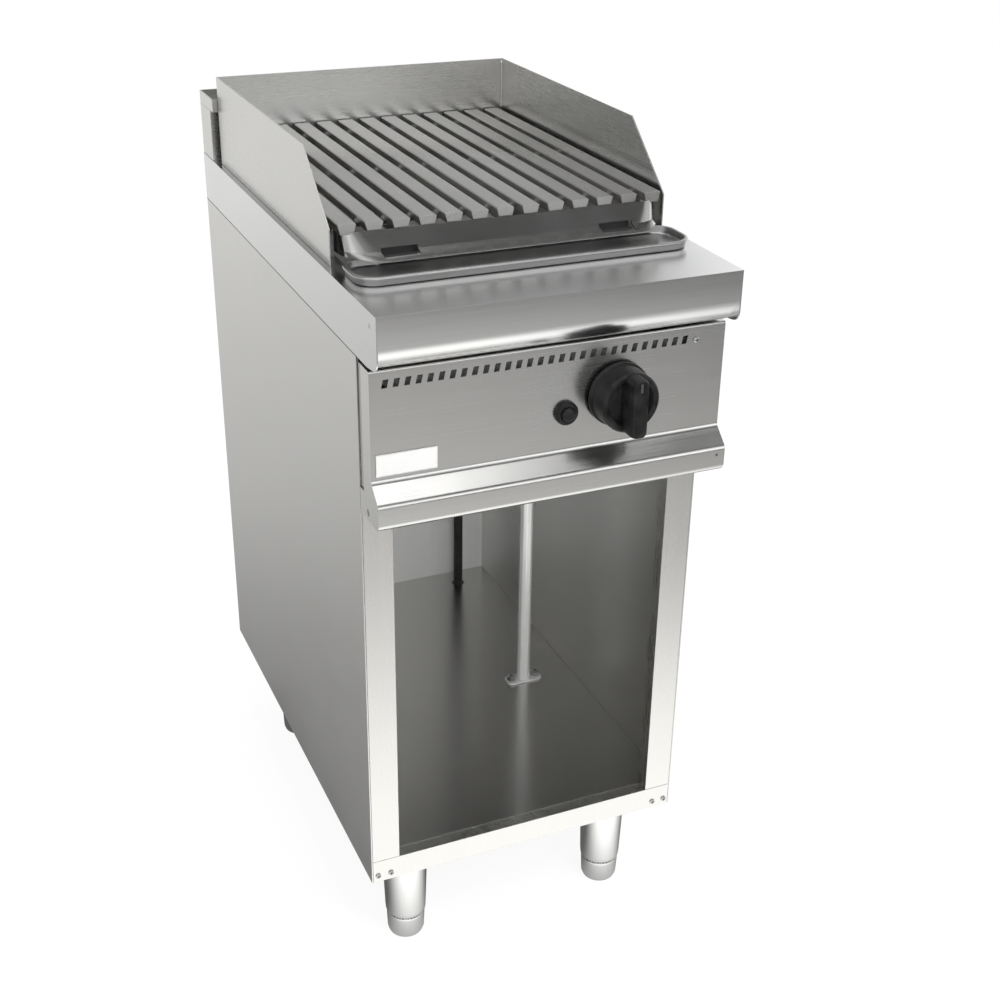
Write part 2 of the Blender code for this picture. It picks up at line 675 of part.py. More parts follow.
def make_label_plate():
    """Blank plate near the lower left of the panel."""
    x = (LABEL_X - 33, LABEL_X + 33)
    y = (FACE_Y - GAP - 0.8, FACE_Y - GAP)
    plate = block("label_plate", x, y, (LABEL_Z - 12, LABEL_Z + 12))
    add_part("label_plate", plate, "white")


def make_knob():
    """Spindle, skirt and grip, whose bar crosses a dished face. The spindle slides and the knob turns."""
    origin = face_point(KNOB_X, KNOB_Z, 0)
    spindle = [(0, 20), (4, 20), (4, -20), (6, -20), (6, -26), (0, -26)]
    turned("valve_spindle", spindle, "bright", origin, FORWARD, 16)
    skirt_profile = [(4.3, 9), (34, 9), (35.5, 7), (35.5, 4.6), (34.5, 4.2), (4.3, 4.2), (4.3, 9)]
    turned("knob_skirt", skirt_profile, "black", origin, FORWARD, 40)
    body = [(0, 28), (23, 28), (26, 33), (28, 34), (31, 34), (33, 32), (33.5, 9.3), (4.3, 9.3), (4.3, 20.3),
            (0, 20.3)]
    grip = turned("knob_grip", body, "black", origin, FORWARD, 40)
    outline = rounded([(-9.5, -32, 6), (9.5, -32, 6), (9.5, 32, 6), (-9.5, 32, 6)], True, 4)
    slim = [(x * 0.85, y * 0.97) for x, y in outline]
    bar = lofted("knob_bar", [at_height(outline, 25), at_height(outline, 50), at_height(slim, 54)])
    cutter = add_cutter("knob_bar", bar, origin)
    cutter.rotation_euler = FORWARD
    apply_boolean(grip, cutter, "UNION")


def make_gas_line():
    """Safety valve behind the panel, the supply pipe that reaches it, and the inlet under the floor."""
    body = block("valve_body", (58, 88), (62, 104), (KNOB_Z - 16, KNOB_Z + 20))
    add_part("valve_body", body, "brass")
    run_z = 688
    path = [(RISER_X, RISER_Y, 150), (RISER_X, RISER_Y, run_z), (RISER_X, 88, run_z), (RISER_X, 88, KNOB_Z),
            (88 + GAP, 88, KNOB_Z)]
    pipe("gas_supply_pipe", path, 7, "bright", bend=14)
    inlet = [(0, 149.7), (INLET_RADIUS, 149.7), (INLET_RADIUS, 138), (9, 138), (9, 124), (0, 124)]
    turned("gas_inlet_fitting", inlet, "brass", (RISER_X, RISER_Y, 0), steps=12)


def make_drain():
    """Drain pipe from the well's floor, with its clamp flange and two screws on the cabinet floor."""
    pipe("drain_pipe", [(DRAIN_X, DRAIN_Y, 132), (DRAIN_X, DRAIN_Y, 704.7)], 9, "bright")
    base = FLOOR_TOP + GAP
    corners = [(DRAIN_X + x, DRAIN_Y + y, 8) for x, y in ((-26, -12), (26, -12), (26, 12), (-26, 12))]
    flange = prism("drain_flange", rounded(corners, True), "Z", (base, base + 2))
    plate = add_part("drain_flange", flange, "bright")
    cut(plate, drilled("flange_hole", DRAIN_X, DRAIN_Y, 9.4, (base - 5, base + 8)))
    screw = [(0, 7), (4, 7), (6.5, 5.5), (6.5, 0), (0, 0)]
    for name, side in (("drain_screw_left", -1), ("drain_screw_right", 1)):
        turned(name, screw, "bright", (DRAIN_X + side * 18, DRAIN_Y, base + 2 + GAP), steps=6)


def make_igniter():
    """Piezo igniter: a bezel clamped in the panel and its push button."""
    origin = face_point(IGNITER_X, IGNITER_Z, GAP)
    bezel = [(8, 6), (11.5, 6), (13, 4), (13, 0), (9, 0), (9, -28), (3, -28), (3, -8), (8, -8), (8, 6)]
    turned("igniter_body", bezel, "black", origin, FORWARD)
    button = [(0, 10), (5.5, 10), (7.5, 8), (7.5, -2), (0, -2)]
    turned("igniter_button", button, "black", origin, FORWARD)


def make_screws():
    """Pan-head screws that show on the front frame, on the panel and on its cheeks."""
    head = [(0, 2), (1.8, 1.8), (3.2, 1), (3.6, 0), (0, 0)]
    for name, x in (("frame_screw_1", -192), ("frame_screw_2", -176), ("frame_screw_3", 176),
                    ("frame_screw_4", 192)):
        turned(name, head, "dark_steel", (x, FRAME_FRONT - GAP, 150), FORWARD, 12)
    turned("panel_screw", head, "bright", face_point(165, 790, GAP), FORWARD, 12)
    flush = [(0, 0), (2.8, 0), (3.4, -0.5), (3.4, -3), (2, -3), (2, -10), (0, -10)]
    for name, side in (("cheek_screw_left", -1), ("cheek_screw_right", 1)):
        place = (side * (HALF_WIDTH - GAP), CHEEK_SCREW_Y, CHEEK_SCREW_Z)
        turned(name, flush, "dark_steel", place, (0, side * math.pi / 2, 0), 12)


def centre_over_origin():
    """Moves the build back or forward so that its bounding box is centred on the origin."""
    bpy.context.view_layer.update()
    graph = bpy.context.evaluated_depsgraph_get()
    depths = []
    for obj in PARTS.objects:
        evaluated = obj.evaluated_get(graph)
        mesh = evaluated.to_mesh()
        depths += [(evaluated.matrix_world @ vertex.co).y for vertex in mesh.vertices]
        evaluated.to_mesh_clear()
    middle = (min(depths) + max(depths)) / 2
    for obj in [*PARTS.objects, *CUTTERS.objects]:
        obj.location.y -= middle


make_cabinet()
make_legs()
make_worktop()
make_flue()
make_splash_guard()
make_grate()
make_apron()
make_tray()
make_well()
make_burner()
make_pilot()
make_control_panel()
make_label_plate()
make_knob()
make_gas_line()
make_drain()
make_igniter()
make_screws()
centre_over_origin()
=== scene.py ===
import math

import bmesh
import bpy
from mathutils import Matrix, Vector


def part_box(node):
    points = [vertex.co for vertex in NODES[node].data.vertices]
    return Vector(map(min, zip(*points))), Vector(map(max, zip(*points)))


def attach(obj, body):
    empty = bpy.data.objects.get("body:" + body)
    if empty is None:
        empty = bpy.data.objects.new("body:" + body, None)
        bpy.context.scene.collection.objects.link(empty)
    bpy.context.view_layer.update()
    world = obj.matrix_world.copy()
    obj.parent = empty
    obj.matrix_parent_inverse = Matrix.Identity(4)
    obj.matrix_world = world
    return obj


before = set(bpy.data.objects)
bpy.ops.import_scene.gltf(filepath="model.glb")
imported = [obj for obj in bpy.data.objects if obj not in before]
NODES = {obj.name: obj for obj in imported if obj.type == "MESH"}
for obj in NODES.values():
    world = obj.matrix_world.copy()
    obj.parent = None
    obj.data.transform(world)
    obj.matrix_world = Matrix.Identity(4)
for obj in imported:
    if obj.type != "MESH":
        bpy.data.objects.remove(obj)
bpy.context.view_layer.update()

# Camera: place and aim in the row frame, for a square picture
CAMERA_PLACE = (-0.6235, -1.579, 1.3464)
CAMERA_YAW = 23.82
CAMERA_DOWN = 26.75
CAMERA_ROLL = 0.89
CAMERA_LENS = 53.76
CAMERA_SENSOR = 36

FEET = ("fl", "fr", "rl", "rr")
SIDES = (("left", -1), ("right", 1))


# ---------------------------------------------------------------- node helpers

def new_material(name):
    material = bpy.data.materials.new(name)
    material.use_nodes = True
    tree = material.node_tree
    return material, tree, tree.nodes["Principled BSDF"]


def add_node(tree, kind, **settings):
    node = tree.nodes.new(kind)
    for key, value in settings.items():
        setattr(node, key, value)
    return node


def feed(tree, socket, value):
    """Sets a socket to a number or a colour, or links it to another node's output."""
    if isinstance(value, (int, float)):
        socket.default_value = value
    elif isinstance(value, tuple):
        socket.default_value = (*value, 1)
    else:
        tree.links.new(value, socket)


def object_coordinates(tree):
    return add_node(tree, "ShaderNodeTexCoord").outputs["Object"]


def split_axes(tree, vector):
    split = add_node(tree, "ShaderNodeSeparateXYZ")
    tree.links.new(vector, split.inputs["Vector"])
    return [split.outputs[axis] for axis in "XYZ"]


def scaled(tree, coordinates, scale):
    mapping = add_node(tree, "ShaderNodeMapping")
    mapping.inputs["Scale"].default_value = scale
    tree.links.new(coordinates, mapping.inputs["Vector"])
    return mapping.outputs["Vector"]


def noise(tree, coordinates, scale=1.0, detail=2.0, roughness=0.5):
    texture = add_node(tree, "ShaderNodeTexNoise")
    texture.inputs["Scale"].default_value = scale
    texture.inputs["Detail"].default_value = detail
    texture.inputs["Roughness"].default_value = roughness
    tree.links.new(coordinates, texture.inputs["Vector"])
    return texture.outputs["Fac"]


def ranged(tree, value, source, target, smooth=False):
    """Maps a value from one range onto another, and holds it at both ends."""
    node = add_node(tree, "ShaderNodeMapRange")
    node.interpolation_type = "SMOOTHSTEP" if smooth else "LINEAR"
    for socket, number in zip(("From Min", "From Max", "To Min", "To Max"), (*source, *target)):
        node.inputs[socket].default_value = number
    tree.links.new(value, node.inputs["Value"])
    return node.outputs["Result"]


def mathed(tree, operation, *values):
    node = add_node(tree, "ShaderNodeMath", operation=operation)
    for socket, value in zip(node.inputs, values):
        feed(tree, socket, value)
    return node.outputs["Value"]


def added(tree, *values):
    total = values[0]
    for value in values[1:]:
        total = mathed(tree, "ADD", total, value)
    return total


def multiplied(tree, *values):
    product = values[0]
    for value in values[1:]:
        product = mathed(tree, "MULTIPLY", product, value)
    return product


def weighed(tree, first, second, share):
    """The first value by its share, plus the second by what is left."""
    return added(tree, multiplied(tree, first, share), multiplied(tree, second, 1 - share))


def mixed(tree, factor, first, second, kind="RGBA", blend="MIX"):
    node = add_node(tree, "ShaderNodeMix", data_type=kind, blend_type=blend)
    sockets = [socket for socket in node.inputs if socket.enabled]
    for socket, value in zip(sockets, (factor, first, second)):
        feed(tree, socket, value)
    return next(socket for socket in node.outputs if socket.enabled)


def bumped(tree, shader, height, strength, distance):
    node = add_node(tree, "ShaderNodeBump")
    node.inputs["Strength"].default_value = strength
    node.inputs["Distance"].default_value = distance
    tree.links.new(height, node.inputs["Height"])
    tree.links.new(node.outputs["Normal"], shader.inputs["Normal"])


def edge_mask(tree, radius, strength):
    """The strength along sharp outer and inner edges, and 0 on open faces."""
    bevel = add_node(tree, "ShaderNodeBevel", samples=4)
    bevel.inputs["Radius"].default_value = radius
    geometry = add_node(tree, "ShaderNodeNewGeometry")
    dot = add_node(tree, "ShaderNodeVectorMath", operation="DOT_PRODUCT")
    tree.links.new(bevel.outputs["Normal"], dot.inputs[0])
    tree.links.new(geometry.outputs["Normal"], dot.inputs[1])
    bent = ranged(tree, dot.outputs["Value"], (0.98, 0.75), (0.0, 1.0))
    return multiplied(tree, bent, strength)


def finished(tree, shader, color, roughness):
    """Links the shader's colour and roughness."""
    tree.links.new(color, shader.inputs["Base Color"])
    tree.links.new(roughness, shader.inputs["Roughness"])


def around(middle, spread):
    return (middle - spread / 2, middle + spread / 2)


def tinted(color, tints):
    return tuple(c * t for c, t in zip(color, tints))


def times(color, factor):
    return tuple(min(1.0, factor * c) for c in color)


def plus(color, step):
    return tuple(min(1.0, c + step) for c in color)


# ---------------------------------------------------------------- materials

GRAIN_ALONG = {"X": (5, 900, 900), "Y": (900, 5, 900), "Z": (900, 900, 5)}
FINE_GRAIN = 1.0
COARSE_GRAIN = 0.16
END_FACE_NORMAL = (0.69, 0.71)
FULL = (0.0, 1.0)
HALF = (0.0, 0.5)

SHEET_TONE = (0.66, 0.655, 0.64)
COOL_TINT = (0.97, 0.985, 1.0)
LINE_TONE = 0.94
# Edge tone of the sheets: a little wear plus a painted highlight
WORN_AND_HIGHLIGHT_TONE = 1.22
FINE_LINE_SHARE = 0.7
CLOUD_SHARE = 0.65
SHEET_EDGE = 0.0005

STRAW_TINT = (1.03, 1.0, 0.95)
BLUE_TINT = (0.93, 0.97, 1.02)
PIT_TONE = 0.72
SCALED_TONE = 1.3
HEATED_EDGE = 0.001
HEATED_ROUGH_SPREAD = 0.14

MARKED_STEP = 0.02
GREYED_STEP = 0.05
PLASTIC_SPECULAR = 0.16
SMALL_EDGE = 0.0008

LABEL_WHITE = (0.72, 0.72, 0.71)
LABEL_DUST = (0.68, 0.68, 0.67)
LABEL_EDGE = (0.6, 0.6, 0.6)
RIM_GREY = (0.5, 0.5, 0.5)
RIM_RUBBED = (0.66, 0.66, 0.66)
BRASS = (0.72, 0.53, 0.24)
BRASS_DULL = (0.5, 0.36, 0.17)
BRASS_RUBBED = (0.85, 0.68, 0.36)
BRASS_RINGS = (40, 40, 900)
GLAZE = (0.85, 0.83, 0.78)
GLAZE_SPECKS = (0.6, 0.56, 0.5)

# Painted shade down the grate bars' flanks, in the gaps between the bars
GAP_SHADE_DEPTH = 0.009
GAP_SHADE_TONE = 0.6
GAP_SHADE_START = 0.0012
GAP_SHADE_BEHIND_FRONT = 0.0008
GAP_SHADE_BLEND = 0.001

EASE_WIDTH = 0.0004
PANEL_EASE_WIDTH = 0.0002
EASE_SEGMENTS = 2
EASE_ANGLE = 30
WELD_DISTANCE = 0.00001
NORMAL_WEIGHT = 80


def grained(tree, where, grain, size):
    """Stretched coordinates for brushing along one axis; X brushing turns to Y on the end faces."""
    along = scaled(tree, where, tuple(size * s for s in GRAIN_ALONG[grain]))
    if grain != "X":
        return along
    on_ends = scaled(tree, where, tuple(size * s for s in GRAIN_ALONG["Y"]))
    facing = split_axes(tree, add_node(tree, "ShaderNodeTexCoord").outputs["Normal"])
    sideways = ranged(tree, mathed(tree, "ABSOLUTE", facing[0]), END_FACE_NORMAL, FULL)
    return mixed(tree, sideways, along, on_ends, kind="VECTOR")


def stainless(name, color, rough, grain="X", grain_depth=0.10, smudge=0.08, edge=0.3, metal=1.0):
    """Brushed sheet: fine lines along one axis, cloudy wipe marks, and edges worn a little brighter, with a
    painted highlight along them.
    """
    material, tree, shader = new_material(name)
    where = object_coordinates(tree)
    fine = noise(tree, grained(tree, where, grain, FINE_GRAIN), detail=3.0, roughness=0.6)
    coarse = noise(tree, grained(tree, where, grain, COARSE_GRAIN))
    clouds = noise(tree, where, scale=5.5, detail=4.0, roughness=0.55)
    patches = noise(tree, where, scale=23.0, detail=3.0, roughness=0.6)
    lines = weighed(tree, fine, coarse, FINE_LINE_SHARE)
    marks = weighed(tree, clouds, patches, CLOUD_SHARE)

    rough_lines = ranged(tree, lines, (0.25, 0.75), around(rough, grain_depth))
    rough_marks = ranged(tree, marks, (0.3, 0.7), around(0, smudge))
    tone = mixed(tree, ranged(tree, lines, (0.3, 0.7), FULL), times(color, LINE_TONE), color)
    tone = mixed(tree, ranged(tree, marks, (0.35, 0.65), HALF), tone, tinted(color, COOL_TINT))
    # Edges lighter: a little wear, and a painted highlight
    tone = mixed(tree, edge_mask(tree, SHEET_EDGE, edge), tone, times(color, WORN_AND_HIGHLIGHT_TONE))
    finished(tree, shader, tone, added(tree, rough_lines, rough_marks))
    shader.inputs["Metallic"].default_value = metal
    bumped(tree, shader, fine, strength=0.01, distance=0.0001)
    return material


def heated_steel(name, color, rough):
    """Steel that has been hot: blotched tone with dull straw and blue patches and fine pitting."""
    material, tree, shader = new_material(name)
    where = object_coordinates(tree)
    blotches = noise(tree, where, scale=9.0, detail=5.0, roughness=0.6)
    pits = noise(tree, where, scale=420.0, detail=3.0, roughness=0.7)
    blotched = ranged(tree, blotches, (0.35, 0.65), FULL)
    tone = mixed(tree, blotched, tinted(color, STRAW_TINT), tinted(color, BLUE_TINT))
    tone = mixed(tree, ranged(tree, pits, (0.35, 0.6), (0.55, 0.0)), tone, times(color, PIT_TONE))
    tone = mixed(tree, edge_mask(tree, HEATED_EDGE, 0.5), tone, times(color, SCALED_TONE))
    finished(tree, shader, tone, ranged(tree, blotches, (0.3, 0.7), around(rough, HEATED_ROUGH_SPREAD)))
    shader.inputs["Metallic"].default_value = 0.5
    bumped(tree, shader, pits, strength=0.12, distance=0.0002)
    return material


def moulded_plastic(name, color, rough):
    """Satin black moulding: fine stipple, faint handling marks and slightly greyed edges."""
    material, tree, shader = new_material(name)
    where = object_coordinates(tree)
    stipple = noise(tree, where, scale=1500.0, roughness=0.6)
    marks = noise(tree, where, scale=60.0, detail=4.0, roughness=0.6)
    tone = mixed(tree, ranged(tree, marks, (0.35, 0.7), FULL), color, plus(color, MARKED_STEP))
    tone = mixed(tree, edge_mask(tree, SMALL_EDGE, 0.6), tone, plus(color, GREYED_STEP))
    finished(tree, shader, tone, ranged(tree, marks, (0.3, 0.7), (rough - 0.06, rough + 0.08)))
    shader.inputs["Specular IOR Level"].default_value = PLASTIC_SPECULAR
    bumped(tree, shader, stipple, strength=0.12, distance=0.00008)
    return material


def coated_plate(name):
    """White-coated plate with a faint orange-peel surface and a greyer rim."""
    material, tree, shader = new_material(name)
    where = object_coordinates(tree)
    peel = noise(tree, where, scale=700.0)
    dust = noise(tree, where, scale=55.0, detail=5.0, roughness=0.65)
    tone = mixed(tree, ranged(tree, dust, (0.35, 0.75), FULL), LABEL_WHITE, LABEL_DUST)
    tone = mixed(tree, edge_mask(tree, SMALL_EDGE, 0.7), tone, LABEL_EDGE)
    finished(tree, shader, tone, ranged(tree, dust, (0.3, 0.7), (0.32, 0.46)))
    bumped(tree, shader, peel, strength=0.05, distance=0.0001)
    return material


def coated_rim(name):
    """Pale grey printed border, a little rubbed."""
    material, tree, shader = new_material(name)
    rubbed = noise(tree, object_coordinates(tree), scale=240.0, detail=4.0, roughness=0.6)
    tone = mixed(tree, ranged(tree, rubbed, (0.4, 0.7), FULL), RIM_GREY, RIM_RUBBED)
    finished(tree, shader, tone, ranged(tree, rubbed, (0.3, 0.7), (0.35, 0.5)))
    bumped(tree, shader, rubbed, strength=0.05, distance=0.00005)
    return material


def machined_brass(name):
    """Turned brass with fine rings, dull patches and rubbed edges."""
    material, tree, shader = new_material(name)
    where = object_coordinates(tree)
    rings = noise(tree, scaled(tree, where, BRASS_RINGS))
    tarnish = noise(tree, where, scale=30.0, detail=5.0, roughness=0.6)
    tone = mixed(tree, ranged(tree, tarnish, (0.35, 0.7), FULL), BRASS, BRASS_DULL)
    tone = mixed(tree, edge_mask(tree, SMALL_EDGE, 0.5), tone, BRASS_RUBBED)
    finished(tree, shader, tone, ranged(tree, rings, (0.3, 0.7), (0.22, 0.36)))
    shader.inputs["Metallic"].default_value = 1.0
    bumped(tree, shader, rings, strength=0.06, distance=0.0001)
    return material


def glazed_ceramic(name):
    """Off-white glaze with small brown specks."""
    material, tree, shader = new_material(name)
    specks = noise(tree, object_coordinates(tree), scale=800.0, detail=3.0, roughness=0.7)
    tone = mixed(tree, ranged(tree, specks, (0.4, 0.75), FULL), GLAZE, GLAZE_SPECKS)
    finished(tree, shader, tone, ranged(tree, specks, (0.3, 0.7), (0.18, 0.34)))
    bumped(tree, shader, specks, strength=0.04, distance=0.0001)
    return material


def make_materials():
    return {
        "side": stainless("side_sheet", SHEET_TONE, 0.34, "Y"),
        "front": stainless("front_sheet", SHEET_TONE, 0.25, "X"),
        "top": stainless("worktop_sheet", (0.68, 0.68, 0.675), 0.22, "X"),
        "guard": stainless("guard_sheet", (0.6, 0.595, 0.58), 0.27, "X", grain_depth=0.04, smudge=0.05,
                           edge=0.1),
        "frame": stainless("frame_sheet", (0.66, 0.65, 0.63), 0.28, "Z"),
        "inner": stainless("inner_sheet", (0.56, 0.55, 0.535), 0.22, "Z", grain_depth=0.06, smudge=0.06),
        "back": stainless("back_sheet", (0.9, 0.9, 0.88), 0.36, "Z", grain_depth=0.08, metal=0.35),
        "tray": stainless("tray_sheet", (0.5, 0.5, 0.495), 0.32, "X"),
        "apron": stainless("apron_sheet", (0.4, 0.4, 0.39), 0.2, "X", grain_depth=0.04, smudge=0.1),
        "tube": stainless("tube_steel", (0.97, 0.97, 0.95), 0.2, "Z", grain_depth=0.05, smudge=0.05,
                          metal=0.45),
        # Darker than the side sheets: painted shade of the step that the jamb strips sit in
        "jamb": stainless("jamb_shaded_sheet", (0.5, 0.5, 0.49), 0.34, "Z"),
        "leg": stainless("leg_steel", (0.84, 0.84, 0.83), 0.08, "Z", grain_depth=0.04, smudge=0.03),
        "bars": stainless("bar_steel", (0.56, 0.555, 0.54), 0.3, "Y"),
        "screw": stainless("screw_steel", (0.5, 0.5, 0.5), 0.28, "X", grain_depth=0.04, smudge=0.05),
        "shade": heated_steel("shaded_steel", (0.06, 0.06, 0.06), 0.5),
        # Dark steel for the screws' crosses, which paint the shade of their recesses, and for the bumper's
        # plug
        "recess": heated_steel("recess_steel", (0.1, 0.1, 0.1), 0.45),
        "baffle": heated_steel("baffle_steel", (0.4, 0.4, 0.4), 0.5),
        "well": heated_steel("well_steel", (0.62, 0.615, 0.6), 0.42),
        "burner": heated_steel("burner_steel", (0.5, 0.49, 0.475), 0.45),
        "radiant": heated_steel("radiant_steel", (0.5, 0.49, 0.47), 0.5),
        "black": moulded_plastic("black_plastic", (0.006, 0.006, 0.006), 0.42),
        "mark": moulded_plastic("index_ridge", (0.06, 0.06, 0.06), 0.4),
        "pipe": moulded_plastic("pipe_enamel", (0.02, 0.02, 0.02), 0.4),
        "plate": coated_plate("coated_plate"),
        "rim": coated_rim("label_rim"),
        "brass": machined_brass("brass"),
        "ceramic": glazed_ceramic("ceramic"),
    }


MATERIAL_OF = {
    "side": ("side_panel_left", "side_panel_right"),
    "front": ("control_panel",),
    "top": ("worktop",),
    "guard": ("splash_guard", "flue_column", "flue_cap", "flue_grille"),
    "apron": ("grate_apron",),
    "frame": ("pillar_left", "pillar_right", "bottom_rail"),
    "inner": ("cabinet_floor", "rear_base_rail", "top_cross_rail"),
    "back": ("back_panel",),
    "tray": ("grease_tray",),
    "tube": ("drain_pipe", "drain_flange", "valve_spindle"),
    "pipe": ("gas_supply_pipe",),
    "leg": tuple(f"{piece}_{spot}" for piece in ("leg", "foot") for spot in FEET),
    "bars": ("grate",),
    "screw": ("drain_screw_left", "drain_screw_right", "panel_screw", "cheek_screw_left", "cheek_screw_right",
              "frame_screw_1", "frame_screw_2", "frame_screw_3", "frame_screw_4"),
    "well": ("burner_well", "flue_duct", "burner_bracket", "radiant_ledge_front", "radiant_ledge_rear",
             "grate_rail_left", "grate_rail_right"),
    "burner": ("burner", "venturi"),
    "radiant": ("radiant_left", "radiant_right"),
    "black": ("knob_skirt", "knob_grip", "igniter_body", "igniter_button"),
    "plate": ("label_plate",),
    "brass": ("valve_body", "gas_inlet_fitting", "pilot_burner", "thermocouple"),
    "ceramic": ("spark_electrode",),
}


def add_gap_shade(material, node):
    """Paints shade on a grate's flanks below its working face, so the gaps between the bars go dark, but not
    on its front ends.
    """
    low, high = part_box(node)
    offset = NODES[node].matrix_world.translation
    tree = material.node_tree
    shader = tree.nodes["Principled BSDF"]
    base = shader.inputs["Base Color"].links[0].from_socket
    y, z = split_axes(tree, object_coordinates(tree))[1:]
    face = high[2] - offset.z - GAP_SHADE_START
    front = low[1] - offset.y + GAP_SHADE_BEHIND_FRONT
    # Painted shade: darker towards the bottom of the bars' flanks
    flanks = ranged(tree, z, (face - GAP_SHADE_DEPTH, face), (GAP_SHADE_TONE, 1.0))
    ends = ranged(tree, y, (front, front + GAP_SHADE_BLEND), (1.0, 0.0))
    unshaded = mathed(tree, "MAXIMUM", flanks, ends)
    level = add_node(tree, "ShaderNodeCombineColor")
    for channel in ("Red", "Green", "Blue"):
        tree.links.new(unshaded, level.inputs[channel])
    gap_shaded = mixed(tree, 1.0, base, level.outputs["Color"], blend="MULTIPLY")
    tree.links.new(gap_shaded, shader.inputs["Base Color"])


def dress_nodes(materials):
    for kind, names in MATERIAL_OF.items():
        for name in names:
            NODES[name].data.materials.clear()
            NODES[name].data.materials.append(materials[kind])
    undressed = set(NODES) - {name for names in MATERIAL_OF.values() for name in names}
    assert not undressed, undressed


def bevel_edges(obj, width):
    bevel = obj.modifiers.new("Ease", "BEVEL")
    bevel.width = width
    bevel.segments = EASE_SEGMENTS
    bevel.limit_method = "ANGLE"
    bevel.angle_limit = math.radians(EASE_ANGLE)
    bevel.use_clamp_overlap = True


def smooth_faces(obj):
    """Smooth shading that keeps wide faces flat."""
    for polygon in obj.data.polygons:
        polygon.use_smooth = True
    weighted = obj.modifiers.new("Normals", "WEIGHTED_NORMAL")
    weighted.keep_sharp = False
    weighted.weight = NORMAL_WEIGHT


def ease_edges():
    """Tiny rounded edges on the CAD nodes, so that folds and rims catch light."""
    for name, obj in NODES.items():
        weld = obj.modifiers.new("Weld", "WELD")
        weld.merge_threshold = WELD_DISTANCE
        bevel_edges(obj, PANEL_EASE_WIDTH if name == "control_panel" else EASE_WIDTH)
        smooth_faces(obj)


# ---------------------------------------------------------------- detail pieces

PROUD = 0.00002

RECESS_SPAN = 0.62
RECESS_ARM = 0.26
SHALLOW_RECESS = 0.0008
DEEP_RECESS = 0.001
DRAIN_RECESS = (0.005, 0.0014)

POCKET_X = (0.104, 0.144)
POCKET_LIFT = 0.0001
POCKET_FRONT = 0.0062
POCKET_REAR = 0.026
POCKET_HEIGHT = 0.0125
POCKET_SHEET = (0.0008, 0.0004)

JAMB_X = 0.1982
JAMB_FOLD_X = 0.186
JAMB_SHEET = 0.001
JAMB_GAP = 0.0003
JAMB_DEPTH = 0.0215
JAMB_ABOVE_PANEL_FOOT = 0.0283
JAMB_BELOW_PANEL_TOP = 0.0025

BAFFLE_HALF_X = 0.18
BAFFLE_BEHIND_LABEL = 0.011
BAFFLE_FOLD = 0.012
BAFFLE_SHEET = 0.001
BAFFLE_BELOW_PANEL_TOP = (0.026, 0.003)

MARK_HALF_WIDTH = 0.0013
MARK_BELOW_TOP = (0.014, 0.0045)
MARK_DEPTH = 0.0006

PLUG_DEPTH = 0.001
PLUG_RADIUS = 0.0029
PLUG_BEHIND_LIP = 0.0195
PLUG_ABOVE_FOOT = 0.0456
BUMPER_PLUG_RADIUS = 0.0016
BUMPER_PLUG_X = 0.19
BUMPER_PLUG_Z = 0.6595

LABEL_BAND = 0.0009
LABEL_BAND_PROUD = 0.00015

BEAD_X = 0.1912
BEAD_BEFORE_REAR = 0.0018
BEAD_INSET = 0.002
BEAD_RADIUS = 0.0016
BEAD_END_RADIUS = 0.0007
BEAD_SWELL = 0.14
BEAD_RIPPLES = 60
BEAD_SIDES = 8

SEAM_BELOW = 0.0011
SEAM_ABOVE = 0.0001
SEAM_DEPTH = 0.0005

RING_TEETH = 36
RING_RADII = (0.0228, 0.0233)
RING_BELOW_SLEEVE = (0.0039, 0.0004)

BACK_SCREW_XS = (-0.185, 0.185)
BACK_SCREW_ZS = (0.17, 0.37, 0.58, 0.79)
BACK_SCREW_RADIUS = 0.0038
BACK_SCREW_PROUD = 0.0012
BACK_SCREW_DEPTH = 0.0016
BACK_SCREW_EASE = 0.0004
RATING_X = (-0.15, -0.08)
RATING_Z = (0.2, 0.24)
RATING_SHEET = 0.0005
RATING_EASE = 0.0002


def add_piece(name, shaped, material, body, edge=0.0):
    """A detail piece that rides on one body, from a closed bmesh."""
    bmesh.ops.recalc_face_normals(shaped, faces=shaped.faces)
    mesh = bpy.data.meshes.new(name)
    shaped.to_mesh(mesh)
    shaped.free()
    mesh.materials.append(material)
    obj = bpy.data.objects.new(name, mesh)
    bpy.context.scene.collection.objects.link(obj)
    if edge:
        bevel_edges(obj, edge)
    smooth_faces(obj)
    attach(obj, body)


def box_corners(node):
    return [Vector(corner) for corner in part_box(node)]


def extruded(shaped, outline, along, start, end):
    """Adds a closed prism: the outline lies across one axis and is drawn out along it."""
    axis = "XYZ".index(along)
    corners = []
    for point in outline:
        place = list(point)
        place.insert(axis, start)
        corners.append(shaped.verts.new(place))
    drawn = bmesh.ops.extrude_face_region(shaped, geom=[shaped.faces.new(corners)])
    moved = [v for v in drawn["geom"] if isinstance(v, bmesh.types.BMVert)]
    step = Vector((0, 0, 0))
    step[axis] = end - start
    bmesh.ops.translate(shaped, verts=moved, vec=step)


def rounded_disc(shaped, centre, axis, radius, depth, sides=20, flare=1.02):
    """Adds a short cylinder whose outer face is at the centre and whose body goes back along the axis."""
    axis = Vector(axis)
    turn = axis.to_track_quat("Z", "Y").to_matrix().to_4x4()
    middle = Vector(centre) + axis * (depth / 2)
    bmesh.ops.create_cone(shaped, cap_ends=True, segments=sides, radius1=radius, radius2=radius * flare,
                          depth=depth, matrix=Matrix.Translation(middle) @ turn)


def rectangle(first, second):
    (a, b), (c, d) = first, second
    return [(a, c), (b, c), (b, d), (a, d)]


